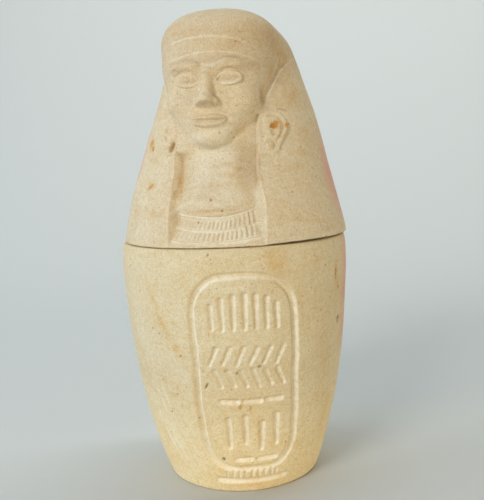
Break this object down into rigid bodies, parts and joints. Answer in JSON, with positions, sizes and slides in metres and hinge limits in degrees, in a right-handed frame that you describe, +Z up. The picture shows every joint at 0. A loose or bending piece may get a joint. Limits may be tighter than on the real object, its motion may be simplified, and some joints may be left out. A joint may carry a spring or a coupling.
{
  "type": "canopic jar",
  "caption": "Hollow turned limestone jar with a carved cartouche, closed by a loose solid lid carved as a head in a smooth headcloth with a collar.",
  "frame": {"origin": "centre of the jar's flat underside, on the surface it stands on", "axes": "+Z up through the lid; -Y is the jar's carved front; +X is the viewer's right"},
  "size_m": [0.1226, 0.1222, 0.2468],
  "materials": {
    "limestone": "matt, rubbed smooth, warm cream with tan banding, dark pits and a few rust spots"
  },
  "bodies": {
    "root": {"jar": "limestone", "lid": "limestone"}
  },
  "joints": []
}
